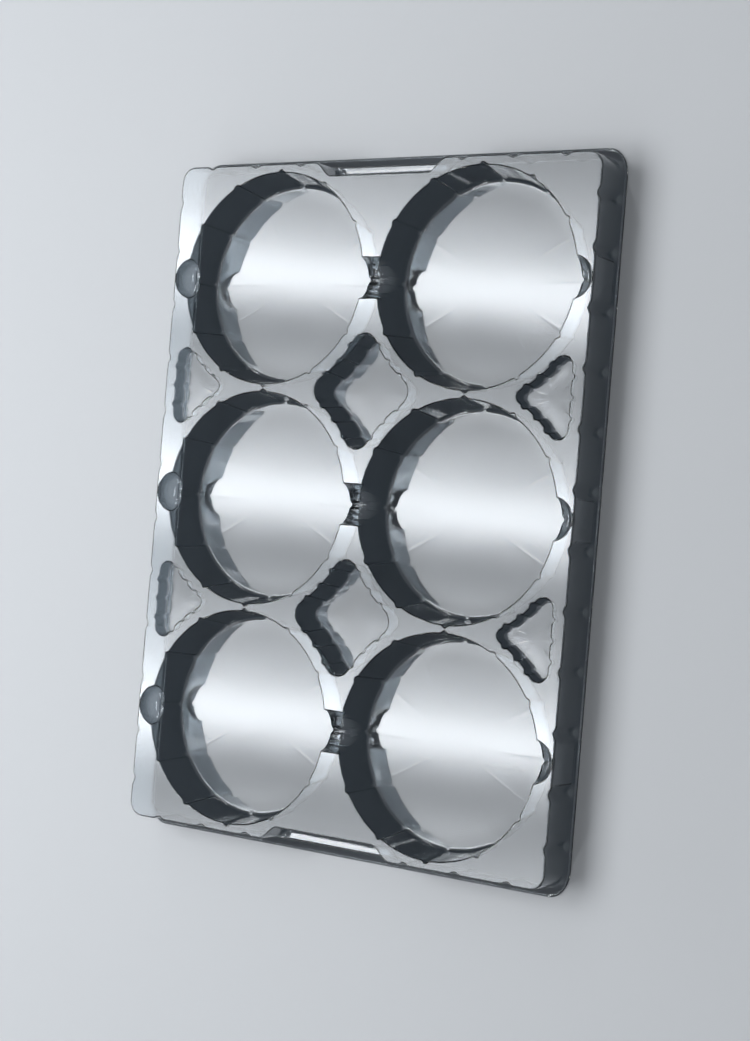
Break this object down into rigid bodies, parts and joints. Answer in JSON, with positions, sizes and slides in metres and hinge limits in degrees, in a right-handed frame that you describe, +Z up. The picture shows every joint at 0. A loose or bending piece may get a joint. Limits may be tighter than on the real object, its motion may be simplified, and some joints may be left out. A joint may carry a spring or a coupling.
{
  "type": "thermoformed plastic tray",
  "caption": "Clear thermoformed packing tray with fluted round pockets, finger troughs, diamond and triangle recesses, a fluted skirt and an out-turned foot.",
  "frame": {"origin": "middle of the footprint, on the surface that the tray rests on", "axes": "+X across the two columns of pockets, +Y along the three rows, +Z up out of the deck"},
  "size_m": [0.258, 0.3662, 0.023],
  "materials": {
    "clear_sheet": "clear, very glossy formed polyester sheet with a slight cool tint"
  },
  "bodies": {
    "root": {"tray": "clear_sheet"}
  },
  "joints": []
}
